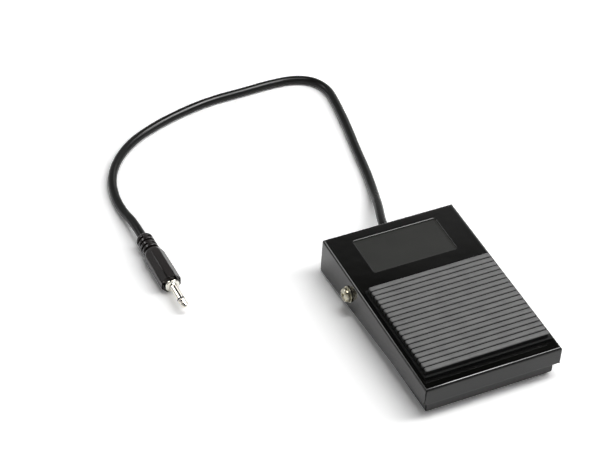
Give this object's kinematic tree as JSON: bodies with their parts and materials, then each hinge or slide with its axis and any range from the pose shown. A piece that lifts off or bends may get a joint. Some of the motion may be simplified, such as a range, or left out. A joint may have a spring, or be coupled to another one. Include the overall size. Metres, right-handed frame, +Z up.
{
  "type": "foot pedal switch",
  "caption": "Low rectangular foot switch: a folded steel pedal with a ribbed rubber tread over a tray, pivoting near its rear, on a cord that ends in a jack plug.",
  "frame": {"origin": "on the floor, under the middle of the pedal", "axes": "+X to the right of someone who stands in front of the pedal's toe end and faces it, +Y from the front edge to the rear edge, where the cord leaves, +Z up"},
  "size_m": [0.1324, 0.2227, 0.0211],
  "materials": {
    "black_paint": "glossy black enamel on folded steel sheet",
    "tread_rubber": "ribbed rubber with dull grey crowns",
    "label_plastic": "fine matte dark grey, blank",
    "foot_rubber": "soft matte black",
    "screw_steel": "yellow zinc plate",
    "zinc_steel": "clear zinc plate",
    "spring_steel": "bright drawn steel",
    "bush_brass": "turned",
    "board_laminate": "glass laminate with green lacquer",
    "white_plastic": "natural nylon",
    "switch_plastic": "moulded black",
    "plunger_plastic": "moulded red",
    "pin_metal": "tinned",
    "wire_plastic": "smooth insulation",
    "cord_jacket": "smooth glossy black jacket",
    "plug_moulding": "glossy black moulding",
    "plug_metal": "bright nickel plate"
  },
  "bodies": {
    "base": {"base_tray": "black_paint", "rubber_feet": "foot_rubber", "pivot_screws": "screw_steel", "pivot_washers": "screw_steel", "pivot_bushes": "bush_brass", "pivot_nuts": "zinc_steel", "front_buffers": "foot_rubber", "rest_buffers": "foot_rubber", "spring_post": "zinc_steel", "return_spring": "spring_steel", "switch_board": "board_laminate", "board_spacers": "white_plastic", "board_screws": "zinc_steel", "switch_base": "switch_plastic", "switch_case": "switch_plastic", "switch_pins": "pin_metal", "inner_wires": "wire_plastic", "clamp_block": "switch_plastic", "clamp_bar": "switch_plastic", "clamp_screws": "zinc_steel", "cord_inner_end": "cord_jacket", "cord_gland": "cord_jacket", "cord": "cord_jacket", "plug_body": "plug_moulding", "plug_sleeve": "plug_metal", "plug_insulator": "switch_plastic", "plug_tip": "plug_metal"},
    "pedal": {"pedal_cover": "black_paint", "tread_pad": "tread_rubber", "label_plate": "label_plastic", "press_stud": "zinc_steel", "spring_stud": "zinc_steel"},
    "lever": {"switch_lever": "spring_steel"},
    "plunger": {"switch_plunger": "plunger_plastic"}
  },
  "joints": [
    {"name": "pedal_press", "type": "hinge", "parent": "base", "child": "pedal", "pos_m": [0, 0.0206, 0.0097], "axis": [1, 0, 0], "range_deg": [0, 3.8], "stiffness_Nm_per_rad": 6.6, "springref_deg": -5.73, "deforming": ["return_spring"]},
    {"name": "lever_turn", "type": "hinge", "parent": "base", "child": "lever", "pos_m": [0, 0.0014, 0.0114], "axis": [1, 0, 0], "range_deg": [0, 9.95]},
    {"name": "plunger_travel", "type": "slide", "parent": "base", "child": "plunger", "axis": [0, 0, -1], "range_m": [0, 0.00071]}
  ],
  "couplings": [
    {"joint": "lever_turn", "follows": "pedal_press", "ratio": 2.5921},
    {"joint": "plunger_travel", "follows": "pedal_press", "m_per_rad": 0.010555}
  ]
}
